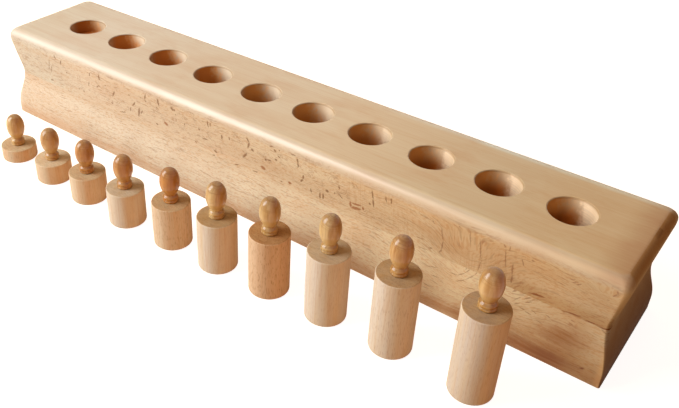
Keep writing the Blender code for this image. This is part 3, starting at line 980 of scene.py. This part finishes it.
# Each loose cylinder's pale wood, its darker bands, how strong its flecks are and how pale its top is
CYLINDER_WOODS = (
    (STRAW, PINK, 0.25, 0.80),
    (STRAW, PINK, 0.10, 1.25),
    (STRAW, PINK, 0.15, 0.60),
    (CREAM, STRAW, 0.10, 0.55),
    (STRAW, PINK, 0.30, 0.35),
    (CREAM, STRAW, 0.12, -0.15),
    (PINK, ORANGE, 0.42, -0.05),
    (CREAM, STRAW, 0.14, 0.35),
    (CREAM, STRAW, 0.22, 0.00),
    (SAND, STRAW, 0.16, 0.10),
)

# What the end grain of a cylinder's top keeps of the wood's colour, where paleness is 0 and 1
END_GRAIN = ((0.70, 0.92), (0.54, 0.86), (0.36, 0.76))

# How closely the marks of a cylinder repeat along X, Y and Z, in turns a metre
CYLINDER_BANDS = (170.0, 170.0, 9.0)
CYLINDER_LINES = (1500.0, 1500.0, 45.0)
CYLINDER_DASHES = (1800.0, 1800.0, 280.0)
CYLINDER_RINGS = (260.0, 900.0, 4.0)


def bare_beech(name, pale, tan, fleck, paleness, seed):
    """Sanded beech with upright grain and darker end grain, as on the loose cylinders, with painted warm
    bounce light on the sides that face +X.
    """
    g = Graph(name)
    bands = g.noise(g.scaled(CYLINDER_BANDS, seed), detail=3.0)
    colour = g.mix(g.fade(bands, 0.35, 0.7), pale, tan)
    lines = g.noise(g.scaled(CYLINDER_LINES))
    colour = g.mix(g.fade(lines, 0.42, 0.72, 0.0, 0.26), colour, RED)
    dashes = g.noise(g.scaled(CYLINDER_DASHES), detail=1.0)
    colour = g.mix(g.times(g.fade(dashes, 0.55, 0.68), fleck), colour, FLECK)
    right, _, up = g.split(g.facing)
    # Painted warm bounce light on the sides that face +X
    colour = g.tint(g.fade(right, 0.35, 1.00), colour, PAINTED_WARM_BOUNCE)
    rings = g.noise(g.scaled(CYLINDER_RINGS, seed))
    kept = [dark + (light - dark) * paleness for dark, light in END_GRAIN]
    end_grain = g.mix(g.fade(rings, 0.35, 0.7, 1.0, 0.86), BLACK, kept)
    colour = g.tint(g.fade(g.size(up), 0.6, 0.95), colour, end_grain)
    g.bump(lines, CYLINDER_RELIEF)
    return g.finish(colour, 0.70, specular=0.05)


# Knob materials

HONEY = (0.590, 0.435, 0.200)
AMBER = (0.440, 0.265, 0.080)
DARK_KNOB = (0.82, 0.50, 0.22)
KNOB_LINES = (0.23, 0.09, 0.02)
KNOB_BELLY = (0.740, 0.560, 0.270)
KNOB_CROWN = (0.26, 0.130, 0.038)
KNOB_RINGS = (0.20, 0.085, 0.02)
# Painted shade on the knobs' sides that face +X
KNOB_RIGHT_SHADE = (0.50, 0.190, 0.030)

# How red and dark each knob is
KNOB_TONES = (0.10, 0.35, 0.80, 0.75, 1.00, 0.10, 0.00, 0.00, 0.45, 0.30)

# The middle of the crown's growth rings, from the top of the knob, and how many there are in a metre
RINGS_MIDDLE = (0.0015, 0.0010, 0.0035)
RINGS_A_METRE = 1150

# How far under the top the head's pale belly begins and is full
BELLY_LOW = 0.0185
BELLY_FULL = 0.0170

# How closely the marks of a knob repeat along X, Y and Z, in turns a metre
KNOB_BANDS = (260.0, 260.0, 30.0)
KNOB_GRAIN = (1100.0, 380.0, 70.0)
RAGGED_RINGS = (300.0, 300.0, 300.0)


def crown_rings(g, centre, top):
    """Growth rings that a turned crown cuts through: nested arcs round a point just above it."""
    middle = [start + shift for start, shift in zip((*centre, top), RINGS_MIDDLE)]
    off = g.join(*(g.minus(place, start) for place, start in zip(g.split(g.place), middle)))
    ragged = g.times(g.noise(g.scaled(RAGGED_RINGS)), 1.6)
    count = g.plus(g.times(g.length(off), RINGS_A_METRE), ragged)
    return g.noise(g.join(count, centre[0] * 50, 0.0), detail=1.0)


def knob_beech(name, tone, centre, top):
    """Turned beech under a glossy honey lacquer, darker where the crown shows its end grain, with painted
    shade on the sides that face +X.
    """
    g = Graph(name)
    right, _, up = g.split(g.facing)
    bands = g.noise(g.scaled(KNOB_BANDS), detail=3.0)
    colour = g.mix(g.fade(bands, 0.40, 0.62), HONEY, AMBER)
    colour = g.tint(tone, colour, DARK_KNOB)
    lines = g.noise(g.scaled(KNOB_GRAIN))
    colour = g.mix(g.fade(lines, 0.48, 0.70, 0.0, 0.35), colour, KNOB_LINES)
    belly = g.fade(g.split(g.place)[2], top - BELLY_LOW, top - BELLY_FULL)
    belly = g.times(g.fade(up, 0.12, -0.40), belly)
    colour = g.mix(g.times(belly, 0.60 - 0.45 * tone), colour, KNOB_BELLY)
    colour = g.mix(g.fade(up, 0.00, 0.80, 0.0, 0.60), colour, KNOB_CROWN)
    rings = g.fade(crown_rings(g, centre, top), 0.48, 0.62, 0.0, 0.34)
    colour = g.mix(g.times(rings, g.fade(up, 0.0, 0.45)), colour, KNOB_RINGS)
    # Painted shade on the sides that face +X
    colour = g.mix(g.fade(right, 0.25, 0.95, 0.0, 0.40), colour, KNOB_RIGHT_SHADE)
    g.bump(lines, KNOB_RELIEF)
    return g.finish(colour, 0.40, specular=0.08, coat=0.65, coat_roughness=0.10)


# Studio

FLOOR = (0.68, 0.48, 0.32, 1)
FLOOR_SIZE = 6
FLOOR_DROP = 0.0002
FLOOR_GLOW = 0.91
GLOW = (0.92, 0.98, 1.0, 1)
FILL = (1.0, 0.40, 0.10, 1)
FILL_STRENGTH = 0.28

# Soft lights: azimuth, elevation, distance, width and height, power and colour
LAMPS = {
    "key": (-139, 30, 1.30, (0.80, 1.10), 24.8, (0.92, 0.97, 1.0)),
    "front": (-72, 24, 1.6, (1.4, 1.0), 5.4, (1.0, 0.80, 0.56)),
    "sky": (120, 60, 1.6, (1.2, 1.2), 3.7, (1.0, 0.84, 0.60)),
}
LAMP_AIM = Vector((0, -0.02, 0.04))

# The camera, as fitted to the photograph
CAMERA_PLACE = Vector((0.284558, -0.383753, 0.327439))
CAMERA_YAW = -37.1586
CAMERA_PITCH = 33.9892
CAMERA_ROLL = 1.13059
CAMERA_SHIFT_X = 0.0912
CAMERA_SHIFT_Y = -0.0260
LENS = 43.516
SENSOR = 36
PHOTO_WIDTH = 679
PHOTO_HEIGHT = 408
NEAREST_SEEN = 0.01

# How often a place on the front is worked out again with the depth of the moulding there
FRONT_TRIES = 6


def background_rays(tree):
    """1 for rays that come from the camera, straight or over a mirror or through glass."""
    path = tree.nodes.new("ShaderNodeLightPath")
    seen = path.outputs["Is Camera Ray"]
    for kind in ("Is Glossy Ray", "Is Transmission Ray"):
        either = tree.nodes.new("ShaderNodeMath")
        either.operation = "MAXIMUM"
        tree.links.new(seen, either.inputs[0])
        tree.links.new(path.outputs[kind], either.inputs[1])
        seen = either.outputs[0]
    return seen


def make_floor():
    """A floor that looks white and still takes the object's shadow."""
    bpy.ops.mesh.primitive_plane_add(size=FLOOR_SIZE, location=(0, 0, -FLOOR_DROP))
    floor = bpy.context.object
    floor.name = "floor"
    material = bpy.data.materials.new("floor")
    material.use_nodes = True
    tree = material.node_tree
    tree.nodes.clear()
    out = tree.nodes.new("ShaderNodeOutputMaterial")
    matt = tree.nodes.new("ShaderNodeBsdfDiffuse")
    matt.inputs["Color"].default_value = FLOOR
    glow = tree.nodes.new("ShaderNodeEmission")
    glow.inputs["Color"].default_value = GLOW
    lift = tree.nodes.new("ShaderNodeMath")
    lift.operation = "MULTIPLY"
    lift.inputs[1].default_value = FLOOR_GLOW
    total = tree.nodes.new("ShaderNodeAddShader")
    tree.links.new(background_rays(tree), lift.inputs[0])
    tree.links.new(lift.outputs[0], glow.inputs["Strength"])
    tree.links.new(matt.outputs[0], total.inputs[0])
    tree.links.new(glow.outputs[0], total.inputs[1])
    tree.links.new(total.outputs[0], out.inputs["Surface"])
    floor.data.materials.append(material)


def make_world():
    """White behind the object, and a warm, weak fill on it."""
    world = bpy.data.worlds.new("studio")
    bpy.context.scene.world = world
    world.use_nodes = True
    tree = world.node_tree
    tree.nodes.clear()
    out = tree.nodes.new("ShaderNodeOutputWorld")
    soft = tree.nodes.new("ShaderNodeBackground")
    soft.inputs["Color"].default_value = FILL
    soft.inputs["Strength"].default_value = FILL_STRENGTH
    white = tree.nodes.new("ShaderNodeBackground")
    white.inputs["Strength"].default_value = 1.0
    white.inputs["Color"].default_value = (1, 1, 1, 1)
    pick = tree.nodes.new("ShaderNodeMixShader")
    tree.links.new(background_rays(tree), pick.inputs[0])
    tree.links.new(soft.outputs[0], pick.inputs[1])
    tree.links.new(white.outputs[0], pick.inputs[2])
    tree.links.new(pick.outputs[0], out.inputs["Surface"])


def add_light(name, azimuth, elevation, distance, size, power, colour):
    """A rectangular soft light that stands in a direction from the aim and faces it."""
    lamp = bpy.data.lights.new(name, "AREA")
    lamp.shape = "RECTANGLE"
    lamp.size, lamp.size_y = size
    lamp.energy = power
    lamp.color = colour
    holder = bpy.data.objects.new(name, lamp)
    bpy.context.scene.collection.objects.link(holder)
    turned = math.radians(azimuth)
    raised = math.radians(elevation)
    level = math.cos(raised)
    step = Vector((level * math.cos(turned), level * math.sin(turned), math.sin(raised)))
    holder.location = LAMP_AIM + distance * step
    holder.rotation_euler = step.to_track_quat("Z", "Y").to_euler()


def camera_matrix():
    return (
        Matrix.Translation(CAMERA_PLACE)
        @ Matrix.Rotation(-math.radians(CAMERA_YAW), 4, "Z")
        @ Matrix.Rotation(QUARTER - math.radians(CAMERA_PITCH), 4, "X")
        @ Matrix.Rotation(math.radians(CAMERA_ROLL), 4, "Z")
    )


def make_camera():
    bpy.context.scene.view_settings.view_transform = "Standard"
    camera = bpy.data.cameras.new("camera")
    camera.sensor_width = SENSOR
    camera.lens = LENS
    camera.shift_x = CAMERA_SHIFT_X
    camera.shift_y = CAMERA_SHIFT_Y
    camera.clip_start = NEAREST_SEEN
    holder = bpy.data.objects.new("camera", camera)
    bpy.context.scene.collection.objects.link(holder)
    bpy.context.scene.camera = holder
    holder.matrix_world = camera_matrix()


def main():
    cutter = socket_cutter()
    lower_woods = [block_beech("lower_beech", False, False), block_beech("lower_raw_beech", False, True)]
    cut_board("fine_lower_board", lower_heights(), cutter, lower_woods)
    upper_woods = [block_beech("upper_beech", True, False), block_beech("upper_raw_beech", True, True)]
    cut_board("fine_upper_board", upper_heights(), cutter, upper_woods)
    bpy.data.objects.remove(cutter)
    for index, (wood, tone) in enumerate(zip(CYLINDER_WOODS, KNOB_TONES)):
        number = f"{index + 1:02d}"
        make_cylinder(number, bare_beech(f"bare_beech_{number}", *wood, seed=3.0 * index))
        make_knob(number, tone)
    make_floor()
    make_world()
    for name, lamp in LAMPS.items():
        add_light(name, *lamp)
    make_camera()


main()
